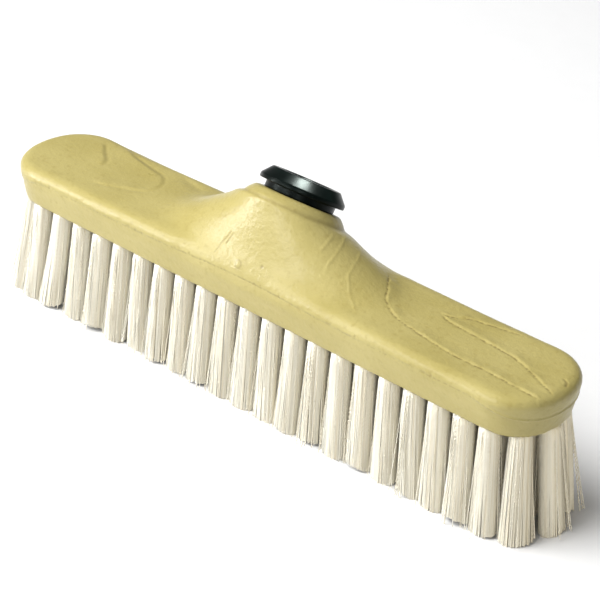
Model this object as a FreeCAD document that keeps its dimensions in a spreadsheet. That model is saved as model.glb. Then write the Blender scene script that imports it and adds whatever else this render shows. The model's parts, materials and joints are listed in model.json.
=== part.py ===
# Scrub brush head: a moulded block with a leaning neck, a black handle bush seated in the neck's socket,
# and flared bristle tufts, each held by a flat wire anchor in its own drilled hole.
# Millimetres. +X runs along the block, +Y to the back, where the neck leans, +Z up from the bristle tips.
import FreeCAD, Part
import math
import os
import Sketcher

SIZES = {
    # Block, a long slot in plan with drafted lower sides, a parting line and a rounded top edge
    "block_length": 304.0,
    "block_width": 51.6,
    "end_radius": 34.0,
    "corner_offset": 3.8,
    "wing_height": 18.9,
    "crown_height": 4.7,
    "edge_flat": 0.2,
    "band_inset": 2.8,
    "wing_rise": 4.1,
    "level_length": 26.0,
    "crest_radius": 600.0,
    # Neck, from its long foot inside the block up to the leaning collar
    "foot_height": 11.4,
    "foot_half_length": 95.0,
    "foot_half_width": 25.0,
    "neck_tilt": 32.3,
    "collar_reach": 9.2,
    "collar_rise": 41.5,
    "collar_height": 4.2,
    "collar_step": 0.4,
    "collar_top_radius": 19.6,
    "collar_base_radius": 23.2,
    "collar_round": 1.6,
    # Socket in the neck, and the bush that it holds
    "socket_depth": 20.0,
    "socket_clearance": 0.1,
    "waist_radius": 16.0,
    "waist_height": 3.2,
    "lip_radius": 19.5,
    "lip_height": 2.0,
    "nose_radius": 15.6,
    "nose_height": 4.5,
    "shank_radius": 14.0,
    "handle_bore_radius": 11.0,
    # Tufts, their holes and their anchors
    "bristle_length": 49.0,
    "tuft_root_radius": 2.3,
    "tuft_tip_radius": 4.8,
    "tuft_margin": 4.3,
    "inner_row_offset": 5.5,
    "side_lean": 3.5,
    "rank_lean": 4.5,
    "end_lean": 7.5,
    "hole_radius": 3.0,
    "hole_depth": 12.0,
    "fold_clearance": 0.8,
    "anchor_width": 2.2,
    "anchor_thickness": 0.4,
    "anchor_clearance": 0.05,
    # Length by which a cutter runs past the face that it opens
    "overrun": 1.0,
}

# Tufts along one straight side of the block, and the flat sides of a tuft and of its hole
TUFT_RANKS = 21
TUFT_SIDES = 6

# Neck sections from foot to collar: share of the rise, of the foot's flare that is left, and of the tilt
NECK_SHARES = (
    (0.0, 1.0, 0.0),
    (0.2, 0.74, 0.1),
    (0.42, 0.5, 0.3),
    (0.7, 0.27, 0.65),
    (1.0, 0.0, 1.0),
)

# Tufts round one end, as shares of the half turn from front to back, and the tuft inside them, as a share
# of the way from the last inner rank to the end's outermost tuft
END_TURN_SHARES = (0.25, 0.5, 0.75)
END_INNER_SHARE = 0.5

UP = FreeCAD.Vector(0, 0, 1)
TILT_AXIS = FreeCAD.Vector(-1, 0, 0)
QUARTER_TURN = 90
HALF_TURN = 180

doc = FreeCAD.newDocument("scrub_brush")
sheet = doc.addObject("Spreadsheet::Sheet", "Sizes")
for row, (alias, value) in enumerate(SIZES.items(), start=1):
    sheet.set(f"A{row}", alias)
    sheet.set(f"B{row}", str(value))
    sheet.setAlias(f"B{row}", alias)
doc.recompute()


def size(alias):
    """Value of one driving dimension, read back from the sheet."""
    return float(sheet.get(alias))


def bind(thing, expressions):
    """Ties properties of one object to expressions over the sheet."""
    for target, expression in expressions.items():
        thing.setExpression(target, expression)
    return thing


def add(kind, name, expressions):
    return bind(doc.addObject(kind, name), expressions)


def group(kind, name, members):
    """Joins objects in a compound or a fusion."""
    whole = doc.addObject(kind, name)
    setattr(whole, "Links" if kind == "Part::Compound" else "Shapes", members)
    return whole


def cut(name, base, tool):
    whole = doc.addObject("Part::Cut", name)
    whole.Base = base
    whole.Tool = tool
    return whole


def stand_on_axis(thing, depth):
    """Stands an object on the neck's axis, at a depth below the collar's top given as an expression."""
    thing.Placement = FreeCAD.Placement(FreeCAD.Vector(), FreeCAD.Rotation(TILT_AXIS, size("neck_tilt")))
    return bind(thing, {
        "Placement.Base.y": f"Sizes.collar_reach - {depth} * sin(Sizes.neck_tilt)",
        "Placement.Base.z": f"Sizes.bristle_length + Sizes.collar_rise - {depth} * cos(Sizes.neck_tilt)",
        "Placement.Rotation.Angle": "Sizes.neck_tilt",
    })


# Sketches

def sketch_on(body, name, role):
    """Starts a sketch on one of its own body's origin planes."""
    sketch = body.newObject("Sketcher::SketchObject", name)
    plane = next(feature for feature in body.Origin.OriginFeatures if feature.Role == role)
    sketch.AttachmentSupport = (plane, "")
    sketch.MapMode = "FlatFace"
    return sketch


def dimension(sketch, kind, references, value, expression):
    """Adds one driving constraint to a sketch and ties it to the sheet."""
    index = sketch.addConstraint(Sketcher.Constraint(kind, *references, value))
    sketch.setExpression(f"Constraints[{index}]", expression)


def turned_profile(sketch, corners):
    """Closes lines through corners, each a radius and a height as sums of sizes, an empty sum being zero."""
    points = [FreeCAD.Vector(*(sum(map(size, terms)) for terms in corner), 0) for corner in corners]
    lines = range(len(points))
    for index in lines:
        sketch.addGeometry(Part.LineSegment(points[index - 1], points[index]), False)
    for index in lines:
        sketch.addConstraint(Sketcher.Constraint("Coincident", lines[index - 1], 2, index, 1))
    for index, corner in enumerate(corners):
        for kind, axis, terms, place in zip(("DistanceX", "DistanceY"), (-2, -1), corner, points[index]):
            if terms:
                total = " + ".join(f"Sizes.{term}" for term in terms)
                dimension(sketch, kind, (-1, 1, index, 2), place, total)
            else:
                sketch.addConstraint(Sketcher.Constraint("PointOnObject", index, 2, axis))


def corner_arc_radius():
    """Radius of the plan's corner arcs, whose centres lie off the middle line by the corner offset."""
    return size("block_width") / 2 - size("corner_offset")


def straight_half():
    """Half of the straight stretch of the block's sides, up to where the corner arcs begin."""
    arc_step = size("end_radius") - corner_arc_radius()
    along = math.sqrt(arc_step ** 2 - size("corner_offset") ** 2)
    return size("block_length") / 2 - size("end_radius") + along


def slot_outline(sketch):
    """Plan of the block: two straight sides, and ends of one large arc between two corner arcs."""
    half_width = size("block_width") / 2
    end_radius = size("end_radius")
    corner_radius = corner_arc_radius()
    end_x = size("block_length") / 2 - end_radius
    corner_x = straight_half()
    corner_y = size("corner_offset")
    swing = math.atan2(corner_y, corner_x - end_x)
    half_turn = math.pi
    quarter = half_turn / 2

    def arc(x, y, radius, start, end):
        return Part.ArcOfCircle(Part.Circle(FreeCAD.Vector(x, y, 0), UP, radius), start, end)

    def side(y):
        return Part.LineSegment(FreeCAD.Vector(-corner_x, y, 0), FreeCAD.Vector(corner_x, y, 0))

    right_end, back_right, back_left, left_end, front_left, front_right, back_side, front_side = (
        sketch.addGeometry(piece, False) for piece in (
            arc(end_x, 0, end_radius, -swing, swing),
            arc(corner_x, corner_y, corner_radius, swing, quarter),
            arc(-corner_x, corner_y, corner_radius, quarter, half_turn - swing),
            arc(-end_x, 0, end_radius, half_turn - swing, half_turn + swing),
            arc(-corner_x, -corner_y, corner_radius, half_turn + swing, half_turn + quarter),
            arc(corner_x, -corner_y, corner_radius, -quarter, -swing),
            side(half_width),
            side(-half_width)))
    for joint in ((right_end, 2, back_right, 1), (back_right, 2, back_side, 2),
                  (back_side, 1, back_left, 1), (back_left, 2, left_end, 1),
                  (left_end, 2, front_left, 1), (front_left, 2, front_side, 1),
                  (front_side, 2, front_right, 1), (front_right, 2, right_end, 1)):
        sketch.addConstraint(Sketcher.Constraint("Tangent", *joint))
    for end in (right_end, left_end):
        sketch.addConstraint(Sketcher.Constraint("PointOnObject", end, 3, -1))
    for line in (back_side, front_side):
        sketch.addConstraint(Sketcher.Constraint("Horizontal", line))
    sketch.addConstraint(Sketcher.Constraint("Equal", right_end, left_end))
    for corner in (back_left, front_left, front_right):
        sketch.addConstraint(Sketcher.Constraint("Equal", back_right, corner))
    dimension(sketch, "Radius", (right_end,), end_radius, "Sizes.end_radius")
    dimension(sketch, "Radius", (back_right,), corner_radius, "Sizes.block_width / 2 - Sizes.corner_offset")
    for references in ((-1, 1, right_end, 3), (left_end, 3, -1, 1)):
        dimension(sketch, "DistanceX", references, end_x, "Sizes.block_length / 2 - Sizes.end_radius")
    for references in ((-1, 1, back_side, 1), (front_side, 1, -1, 1)):
        dimension(sketch, "DistanceY", references, half_width, "Sizes.block_width / 2")


# Block

def edges_where(shape, wanted):
    """Names of the edges of a shape that a test picks out."""
    return [f"Edge{index}" for index, edge in enumerate(shape.Edges, start=1) if wanted(edge)]


def round_edges(body, name, base, wanted, radius):
    """Rounds the edges of a body's last feature that a test picks out, by a radius given as an expression."""
    doc.recompute()
    rounding = body.newObject("PartDesign::Fillet", name)
    rounding.Base = (base, edges_where(base.Shape, wanted))
    return bind(rounding, {"Radius": radius})


def is_circle(edge, radius):
    return hasattr(edge.Curve, "Radius") and math.isclose(edge.Curve.Radius, radius)


def is_crest(edge):
    """Whether an edge of the crown is the ridge across its middle, where the two ramps meet."""
    return all(abs(vertex.X) < size("crown_height") for vertex in edge.Vertexes)


def is_top_rim(edge):
    """Whether an edge of the crown runs round its top, rather than down its sides or across it."""
    halfway_up = size("crown_height") / 2
    above = all(vertex.Z > halfway_up for vertex in edge.Vertexes)
    front, back = (edge.Vertexes[0].Y, edge.Vertexes[-1].Y)
    crosses = abs(front - back) > size("block_width") / 2 and edge.BoundBox.XLength < halfway_up
    on_end = abs(edge.Vertexes[0].X) > straight_half()
    return above and (on_end or not crosses)


def wing_ramp(body, side, facing):
    """Hollows one wing's top, level along its end and rising from there to the crest under the neck."""
    run = "(Sizes.block_length / 2 - Sizes.level_length)"
    radius = f"({run} ^ 2 + Sizes.wing_rise ^ 2) / (2 * Sizes.wing_rise)"
    past_front = "-Sizes.block_width / 2 - Sizes.overrun"
    across = "Sizes.block_width + 2 * Sizes.overrun"
    level = "Sizes.crown_height"
    end = body.newObject("PartDesign::SubtractiveBox", f"{side}_level")
    bind(end, {
        "Length": "Sizes.level_length + Sizes.overrun",
        "Width": across,
        "Height": "Sizes.wing_rise + Sizes.overrun",
        "Placement.Base.x": f"({facing} * ({run} + Sizes.block_length / 2 + Sizes.overrun)"
                            " - Sizes.level_length - Sizes.overrun) / 2",
        "Placement.Base.y": past_front,
        "Placement.Base.z": level,
    })
    ramp = body.newObject("PartDesign::SubtractiveCylinder", f"{side}_ramp")
    ramp.Placement = FreeCAD.Placement(FreeCAD.Vector(), FreeCAD.Rotation(TILT_AXIS, QUARTER_TURN))
    return bind(ramp, {
        "Radius": radius,
        "Height": across,
        "Placement.Base.x": f"{facing} * {run}",
        "Placement.Base.y": past_front,
        "Placement.Base.z": f"{level} + {radius}",
    })


def block_base():
    """The wings: a round-edged crown above the parting line and a drafted band below it."""
    band_height = "(Sizes.wing_height - Sizes.crown_height)"
    body = add("PartDesign::Body", "block_base", {
        "Placement.Base.z": f"Sizes.bristle_length + {band_height}",
    })
    outline = sketch_on(body, "parting_outline", "XY_Plane")
    slot_outline(outline)
    crown = body.newObject("PartDesign::Pad", "crown")
    crown.Profile = outline
    bind(crown, {"Length": "Sizes.crown_height + Sizes.wing_rise"})
    for side, facing in (("left", -1), ("right", 1)):
        ramp = wing_ramp(body, side, facing)
    crest = round_edges(body, "rounded_crest", ramp, is_crest, "Sizes.crest_radius")
    round_edges(body, "rounded_edge", crest, is_top_rim, "Sizes.crown_height - Sizes.edge_flat")
    band = body.newObject("PartDesign::Pad", "band")
    band.Profile = outline
    band.Reversed = True
    bind(band, {"Length": band_height, "TaperAngle": f"-atan(Sizes.band_inset / {band_height})"})
    return body


def neck_section(name, rise_share, flare_share, tilt_share):
    """One oval of the neck, between its foot in the block and the collar's base."""
    section = doc.addObject("Part::Ellipse", name)
    section.Placement = FreeCAD.Placement(FreeCAD.Vector(), FreeCAD.Rotation(TILT_AXIS, size("neck_tilt")))
    foot_z = "(Sizes.bristle_length + Sizes.foot_height)"
    collar_y = "(Sizes.collar_reach - Sizes.collar_height * sin(Sizes.neck_tilt))"
    collar_z = "(Sizes.bristle_length + Sizes.collar_rise - Sizes.collar_height * cos(Sizes.neck_tilt))"
    top_radius = "Sizes.collar_base_radius"
    return bind(section, {
        "MajorRadius": f"{top_radius} * {1 - flare_share} + Sizes.foot_half_length * {flare_share}",
        "MinorRadius": f"{top_radius} * {rise_share} + Sizes.foot_half_width * {1 - rise_share}",
        "Placement.Base.y": f"{collar_y} * {rise_share}",
        "Placement.Base.z": f"{foot_z} * {1 - rise_share} + {collar_z} * {rise_share}",
        "Placement.Rotation.Angle": f"Sizes.neck_tilt * {tilt_share}",
    })


def neck():
    """The sweep from the wings up to the collar."""
    loft = doc.addObject("Part::Loft", "neck")
    loft.Sections = [neck_section(f"neck_section_{index}", *shares)
                     for index, shares in enumerate(NECK_SHARES, start=1)]
    loft.Solid = True
    return loft


def turned_body(name, corners, depth):
    """A body of revolution about the neck's axis, its foot at a depth below the collar's top."""
    body = doc.addObject("PartDesign::Body", name)
    profile = sketch_on(body, f"{name}_profile", "XZ_Plane")
    turned_profile(profile, corners)
    turning = body.newObject("PartDesign::Revolution", f"{name}_turning")
    turning.Profile = profile
    turning.ReferenceAxis = (profile, ["V_Axis"])
    return stand_on_axis(body, depth), turning


def collar():
    """The rounded ring at the neck's mouth, a little proud of the neck below it."""
    body, turning = turned_body("collar", (
        ((), ()),
        (("collar_base_radius", "collar_step"), ()),
        (("collar_top_radius",), ("collar_height",)),
        ((), ("collar_height",))), "Sizes.collar_height")
    round_edges(body, "collar_rounding", turning,
                lambda edge: is_circle(edge, size("collar_top_radius")), "Sizes.collar_round")
    return body


def socket():
    """Round hollow for the bush, open at the collar's top."""
    return stand_on_axis(add("Part::Cylinder", "socket", {
        "Radius": "Sizes.shank_radius + Sizes.socket_clearance",
        "Height": "Sizes.socket_depth + Sizes.overrun",
    }), "Sizes.socket_depth")


# Tufts

def tuft_places():
    """Mouths and outward leans of all tufts, by rank and end: x, y, and degrees of lean along x and y."""
    run = straight_half()
    outer_y = size("block_width") / 2 - size("band_inset") - size("tuft_margin")
    inner_y = size("inner_row_offset")
    rank_step = 2 * run / (TUFT_RANKS - 1)
    end_reach = size("block_length") / 2 - size("band_inset") - size("tuft_margin") - straight_half()

    def in_row(x, y):
        return (x, y, size("rank_lean") * x / run, size("side_lean") * y / outer_y)

    def on_end(facing, turn_share):
        turn = math.pi * (turn_share - END_TURN_SHARES[1])
        x = facing * (straight_half() + end_reach * math.cos(turn))
        outward = FreeCAD.Vector(facing * math.cos(turn) / end_reach, math.sin(turn) / outer_y, 0).normalize()
        return (x, outer_y * math.sin(turn), size("end_lean") * outward.x, size("end_lean") * outward.y)

    places = {}
    for rank in range(TUFT_RANKS):
        x = -run + rank * rank_step
        places[f"rank_{rank + 1:02d}"] = [in_row(x, -outer_y), in_row(x, outer_y)]
        if rank < TUFT_RANKS - 1:
            between = x + rank_step / 2
            places[f"rank_{rank + 1:02d}"] += [in_row(between, -inner_y), in_row(between, inner_y)]
    last_inner_x = run - rank_step / 2
    end_inner_x = last_inner_x + (straight_half() + end_reach - last_inner_x) * END_INNER_SHARE
    for name, facing in (("left_end", -1), ("right_end", 1)):
        places[name] = [on_end(facing, turn_share) for turn_share in END_TURN_SHARES]
        places[name].append(in_row(facing * end_inner_x, 0))
    return places


def mouth_frame(x, y, lean_x, lean_y):
    """Placement at a tuft hole's mouth, with its own +Z up the hole."""
    mouth = FreeCAD.Vector(x, y, size("bristle_length"))
    up_hole = FreeCAD.Vector(-math.tan(math.radians(lean_x)), -math.tan(math.radians(lean_y)), 1)
    return FreeCAD.Placement(mouth, FreeCAD.Rotation(UP, up_hole))


def along_hole(frame, height):
    """The hole's frame moved up along the hole."""
    return frame.multiply(FreeCAD.Placement(UP * height, FreeCAD.Rotation()))


def at_level(frame, level):
    """Level placement where the hole's axis passes a height above the tips."""
    axis = frame.Rotation.multVec(UP)
    return FreeCAD.Placement(frame.Base + axis * ((level - frame.Base.z) / axis.z), FreeCAD.Rotation())


def tuft_hole(name, frame):
    hole = add("Part::Prism", name, {
        "Circumradius": "Sizes.hole_radius",
        "Height": "Sizes.hole_depth + Sizes.overrun",
    })
    hole.Polygon = TUFT_SIDES
    hole.Placement = along_hole(frame, -size("overrun"))
    return hole


def tuft_outline(name, radius_alias, placement):
    outline = add("Part::RegularPolygon", name, {"Circumradius": f"Sizes.{radius_alias}"})
    outline.Polygon = TUFT_SIDES
    outline.Placement = placement
    return outline


def anchor_foot():
    """Height of the anchors' lower edges above the mouths of their holes."""
    return size("hole_depth") - size("fold_clearance") - size("anchor_width")


def tuft(name, frame):
    """One flared bundle, cut level at the tips and drawn up against its anchor at the root."""
    root_level = size("bristle_length") + anchor_foot() - size("anchor_clearance")
    bundle = doc.addObject("Part::Loft", name)
    bundle.Sections = [tuft_outline(f"{name}_tip", "tuft_tip_radius", at_level(frame, 0)),
                       tuft_outline(f"{name}_root", "tuft_root_radius", at_level(frame, root_level))]
    bundle.Solid = True
    bundle.Ruled = True
    bundle.Linearize = True
    return bundle


def anchor(name, frame):
    """One flat wire anchor, standing on edge from corner to corner of its hole."""
    corner_inset = f"Sizes.anchor_thickness / 2 * tan({HALF_TURN / TUFT_SIDES})"
    wire = add("Part::Box", name, {
        "Length": f"2 * (Sizes.hole_radius - {corner_inset} - Sizes.anchor_clearance)",
        "Width": "Sizes.anchor_thickness",
        "Height": "Sizes.anchor_width",
    })
    doc.recompute([wire])
    corner = FreeCAD.Vector(-wire.Length.Value / 2, -wire.Width.Value / 2, anchor_foot())
    wire.Placement = frame.multiply(FreeCAD.Placement(corner, FreeCAD.Rotation()))
    return wire


# Assembly

def brush_block(frames):
    solid = group("Part::MultiFuse", "block_solid", [block_base(), neck(), collar()])
    holes = group("Part::Compound", "tuft_holes",
                  [tuft_hole(f"hole_{index:03d}", frame) for index, frame in enumerate(frames, start=1)])
    return cut("brush_block", cut("block_with_socket", solid, socket()), holes)


def handle_bush():
    """Flanged bush: a shank in the socket, a waist seated on the collar, a lip and a tapered nose."""
    foot = ("socket_depth",)
    lip_foot = foot + ("waist_height",)
    lip_top = lip_foot + ("lip_height",)
    nose_top = lip_top + ("nose_height",)
    bore = ("handle_bore_radius",)
    body, _ = turned_body("handle_bush", (
        (bore, ()),
        (("shank_radius",), ()),
        (("shank_radius",), foot),
        (("waist_radius",), foot),
        (("waist_radius",), lip_foot),
        (("lip_radius",), lip_foot),
        (("lip_radius",), lip_top),
        (("nose_radius",), nose_top),
        (bore, nose_top)), "Sizes.socket_depth")
    return body


tuft_frames = {name: [mouth_frame(*place) for place in members] for name, members in tuft_places().items()}
sub_parts = [brush_block([frame for frames in tuft_frames.values() for frame in frames]), handle_bush()]
for name, frames in tuft_frames.items():
    for kind, maker in (("tufts", tuft), ("anchors", anchor)):
        members = [maker(f"{kind}_{name}_{index}", frame) for index, frame in enumerate(frames, start=1)]
        sub_parts.append(group("Part::Compound", f"{kind}_{name}", members))
doc.recompute()

for thing in doc.Objects:
    if "Invalid" in thing.State or "Error" in thing.State:
        raise RuntimeError(f"{thing.Label} failed: {thing.State}")
for sub_part in sub_parts:
    if sub_part.Shape.isNull() or not sub_part.Shape.isValid():
        raise RuntimeError(f"{sub_part.Label} has no valid shape")

os.makedirs("parts", exist_ok=True)
for sub_part in sub_parts:
    sub_part.Shape.exportStep(f"parts/{sub_part.Label}.step")
    box = sub_part.Shape.BoundBox
    print(sub_part.Label, len(sub_part.Shape.Solids), "solids", round(sub_part.Shape.Volume, 1), "mm3", box)
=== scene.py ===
import json
import math

import bmesh
import bpy
import numpy as np
from mathutils import Matrix, Vector, kdtree, noise


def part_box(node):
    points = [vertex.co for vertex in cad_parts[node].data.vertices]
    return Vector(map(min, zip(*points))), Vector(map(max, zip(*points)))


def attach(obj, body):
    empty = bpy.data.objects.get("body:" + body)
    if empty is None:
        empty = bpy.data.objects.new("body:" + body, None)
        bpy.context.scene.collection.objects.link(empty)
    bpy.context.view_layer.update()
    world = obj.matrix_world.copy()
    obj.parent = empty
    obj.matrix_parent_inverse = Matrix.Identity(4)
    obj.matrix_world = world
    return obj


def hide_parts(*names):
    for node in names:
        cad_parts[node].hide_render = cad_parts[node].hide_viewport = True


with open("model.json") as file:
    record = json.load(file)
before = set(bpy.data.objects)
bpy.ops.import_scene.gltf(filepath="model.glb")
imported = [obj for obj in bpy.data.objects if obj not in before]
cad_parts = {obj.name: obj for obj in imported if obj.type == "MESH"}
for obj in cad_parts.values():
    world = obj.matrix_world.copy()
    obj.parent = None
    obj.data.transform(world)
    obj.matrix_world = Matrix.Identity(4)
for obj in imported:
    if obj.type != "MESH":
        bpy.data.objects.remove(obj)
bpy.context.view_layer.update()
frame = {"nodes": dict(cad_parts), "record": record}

MM = 0.001
ROOT = "root"
WELD_DISTANCE = 0.001 * MM
PLACE_DIGITS = 4

# Places read from the frame
BORE = next(mount for mount in frame["record"]["mounts"] if mount["name"] == "handle_bore")
BORE_AXIS = np.array(BORE["axis"])
BORE_RADIUS = BORE["dims"]["r_mm"] * MM
BORE_LENGTH = BORE["dims"]["length_mm"] * MM
BUSH_FOOT = np.array(BORE["pos_m"]) - BORE_AXIS * BORE_LENGTH / 2
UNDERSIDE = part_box("brush_block")[0].z
TUFT_NODES = sorted(name for name in frame["nodes"] if name.startswith("tufts_"))
ANCHOR_NODES = sorted(name for name in frame["nodes"] if name.startswith("anchors_"))

# Seeds of the bristles and of each noise on the block
BRISTLE_SEED = 7
CRUMB_SEED = 7
SLOW_SEED = 8
WANDER_SEED = 9
BROAD_SEED = 10
FINE_SEED = 11
NECK_SEED = 12
DOT_SEED = 13
CHIP_SEED = 15
SHOULDER_SEED = 16

# Camera, at the photograph's viewing angle, aimed so that the block's middle lies off the picture's middle
PHOTO_WIDTH_PX = 600
SENSOR = 36.0
FOCAL_PX = 2252.9
CAMERA_AZIMUTH = 40.58
CAMERA_ELEVATION = 30.28
CAMERA_ROLL = math.radians(2.72)
CAMERA_DISTANCE = 0.9798
RIGHT_ANGLE = 90
AIM_RIGHT_PX = 19.8
AIM_DOWN_PX = 8.9

# Block, with the neck's collar and its seat for the bush
BLOCK_HALF_LENGTH = 152 * MM
BLOCK_HALF_WIDTH = 25.8 * MM
CORNER_RADIUS = 22 * MM
STRAIGHT_HALF = 130 * MM
BAND_HEIGHT = 14.2 * MM
COLLAR_HEIGHT = 4.2 * MM
COLLAR_RADIUS = 23.2 * MM
SEAT_DEPTH = 20 * MM

# Parting line, which rises a little at the neck and falls towards the ends
PARTING_RISE = 2 * MM
PARTING_RISE_LENGTH = 32 * MM
PARTING_FALL = 5.4 * MM
PARTING_FALL_START = 120 * MM

# Which points count as the block's top, the neck's front, the block's side and the collar's crease
UPWARD_SHARE = 0.2
FORWARD_SHARE = 0.3
FRONT_HALF_SHARE = 1.5
SIDE_INSET = 2.5 * MM
SIDE_FULL_INSET = 1.5 * MM
SIDE_REACH = 3 * MM
CREASE_REACH = 2 * MM
CREASE_RADIUS_SHARE = 1.2

# Even mesh of the block, and its smoothing where the neck flows into the wings
VOXEL = 1.45 * MM
SMOOTH_ROUNDS = 67
LEAST_SMOOTH_SHARE = 0.025
NECK_HEIGHT_SHARES = (0.8, 1.15)
NECK_ENDS = (70 * MM, 105 * MM)
COLLAR_FOOT_SHARES = (-2.4, -1.4)
COLLAR_SIDE_SHARES = (1.2, 1.5)
SOCKET_FOOT_SHARES = (-1.2, -1.1)
SOCKET_SIDE_SHARES = (1, 1.1)
KEPT_RIM_INSETS = (3 * MM, 9 * MM)
KEPT_RIM_GAP = 24 * MM

# Straightening of the wings' rim, and finer cells near the marks
RIM_ROUNDS = 3
RIM_REACH = 1.5 * MM
RIM_STRETCH = 10
RIM_HEIGHT_SHARES = (0.7, 0.9)
RIM_INSETS = (6 * MM, 10 * MM)
RIM_STARTS = (40 * MM, 65 * MM)
FINE_CUTS = 3
FINE_MARK_REACH = 1.4 * MM
FINE_SEAM_REACH = 1.2 * MM
FINE_ROUNDS = 12

# Grain lines and marks, by places in millimetres: (x, y) from above, (x, height) on the neck's front
LEFT_WING_LINES = (
    ((-129, 19), (-122, 12), (-115, 6), (-112, -1)),
    ((-118, 23), (-108, 18), (-95, 15), (-84, 12), (-79, 5), (-80, -2), (-87, -6), (-96, -10), (-106, -13)))
LEFT_VALLEY = (
    ((-82, 19.5), (-75, 18.5), (-68, 16.5), (-58, 13)),)
RIGHT_WING_LINES = (
    ((48, 15), (55, 5.6), (59, -0.4), (61.5, -3), (70, -7), (81, -9), (104, -12), (122, -12), (138, -13),
     (148, -13)),
    ((79, 9), (86, 11), (92, 15), (104, 18), (117, 21)),
    ((81, 9), (87, 7), (100, 6), (114, 5), (126, 3), (143, -4), (150, -7)))
END_FLECKS = (
    ((146, 5), (148, 4), (149, 2)),)
FLANK_LINES = (
    ((28, 1), (29.5, -6), (29.4, -9.5), (28.8, -12.5)),
    ((27, 11), (32, 1.4), (34, -3.3), (34.8, -7.4), (34.9, -11), (36.2, -15)),
    ((34, 12), (39.3, 3.7), (41.7, -1.7), (43.3, -7.2), (45.2, -9.3), (48.6, -12.3), (52.6, -14.5),
     (57.7, -18.8)))
FRONT_LINES = (
    ((-13.2, 31.5), (-14.6, 28.5), (-16.4, 25.6), (-18.3, 21)),
    ((-11.6, 31), (-13, 28), (-14.2, 26)))
BLISTER = (-4, 21)
PIT = (8, 24)
LINE_SPACING_MM = 0.2
FROM_ABOVE = (0, 1)
FROM_FRONT = (0, 2)

# Unevenness of the marks: middle, swing, wavelength, least and greatest value
CRUMBS = (0.8, 1.1, 5 * MM, 0.15, 1.4)
DOTS = (0.5, 1.8, 1.2 * MM, 0, 1)
SLOW = (0.8, 0.8, 9 * MM, 0.2, 1.3)
WANDER = 0.3 * MM
WANDER_LENGTH = 4 * MM

# Marks on the wings, with dirt and painted shade along their lines, grooves and flecks
GROOVE_DEPTH_SHARE = 0.6
GROOVE_PLACE_SHARE = 1.2
GROOVE_WIDTH_SHARE = 0.7
LEFT_FADE = 6 * MM
LEFT_HEIGHT = 0.32 * MM
LEFT_WIDTH = 1.1 * MM
LEFT_REACH = 8 * MM
LEFT_DIRT_AND_SHADE_SHARE = 0.06
LEFT_DIRT_AND_SHADE_WIDTH = 0.7 * MM
VALLEY_FADE = 9 * MM
VALLEY_DEPTH = 0.5 * MM
VALLEY_WIDTH = 1.8 * MM
RIGHT_FADE = 4 * MM
RIGHT_HEIGHT = 0.36 * MM
RIGHT_WIDTH = 0.5 * MM
RIGHT_REACH = 5 * MM
RIGHT_DIRT_AND_SHADE_SHARE = 0.9
RIGHT_DIRT_AND_SHADE_PLACE = 0.6 * MM
RIGHT_DIRT_AND_SHADE_WIDTH = 0.25 * MM
FLECK_DEPTH = 0.3 * MM
FLECK_WIDTH = 0.4 * MM
FLECK_DIRT_AND_SHADE_SHARE = 0.6
FLECK_DIRT_AND_SHADE_WIDTH = 0.3 * MM

# Marks on the neck, with dirt and painted shade in the scratches, the pit and the crease, and a ring of
# painted shade round the blister
FLANK_FADE = 5 * MM
FLANK_HEIGHT = 0.18 * MM
FLANK_WIDTH = 0.45 * MM
SCRATCH_DEPTH = 0.2 * MM
SCRATCH_WIDTH = 0.25 * MM
SCRATCH_DIRT_AND_SHADE_SHARE = 0.5
SCRATCH_DIRT_AND_SHADE_WIDTH = 0.2 * MM
BLISTER_RADIUS = 1.6 * MM
BLISTER_HEIGHT = 0.5 * MM
BLISTER_SHADE_SHARE = 0.35
BLISTER_SHADE_WIDTH = 0.35 * MM
PIT_RADIUS = 0.5 * MM
PIT_DEPTH = 0.25 * MM
PIT_DIRT_AND_SHADE_SHARE = 0.5
CREASE_DEPTH = 0.35 * MM
CREASE_WIDTH = 0.6 * MM
CREASE_DIRT_AND_SHADE_SHARE = 0.35

# Marks along the parting line: its step and groove, chips above it, and a ridge of flash at the right end;
# dirt and painted shade lie in the groove and the chips
SEAM_WIDTH = 0.25 * MM
SEAM_DEPTH = 0.12 * MM
SEAM_DIRT_AND_SHADE_SHARE = 0.4
SEAM_STEP = 0.1 * MM
SEAM_STEP_WIDTH = 0.3 * MM
CHIP_LENGTH = 2.2 * MM
CHIP_LIMITS = (0.3, 0.6)
CHIP_PLACE = 0.6 * MM
CHIP_WIDTH = 0.6 * MM
CHIP_DEPTH = 0.15 * MM
CHIP_DIRT_AND_SHADE_SHARE = 0.25
FLASH_STARTS = (120 * MM, 138 * MM)
FLASH_HEIGHT = 0.5 * MM
FLASH_WIDTH = 0.35 * MM
FLASH_GROOVE_DEPTH = 0.12 * MM
FLASH_GROOVE_PLACE = 1.1 * MM
FLASH_GROOVE_WIDTH = 0.6 * MM

# Uneven skin: heights and wavelengths all over, on the neck's front and along the front top edge
OUTSIDE_HEIGHT_SHARES = (0.3, 0.6)
BROAD_DEPTH = 0.07 * MM
BROAD_LENGTH = 22 * MM
FINE_DEPTH = 0.02 * MM
FINE_LENGTH = 4 * MM
NECK_FACING_SHARES = (0.1, 0.5)
NECK_HALF_LENGTH = 42 * MM
NECK_DEPTH = 0.09 * MM
NECK_LENGTH = 6 * MM
SHOULDER_INSET = 3 * MM
SHOULDER_WIDTH = 2 * MM
SHOULDER_DEPTH = 0.08 * MM
SHOULDER_LENGTH = 3.5 * MM

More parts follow.
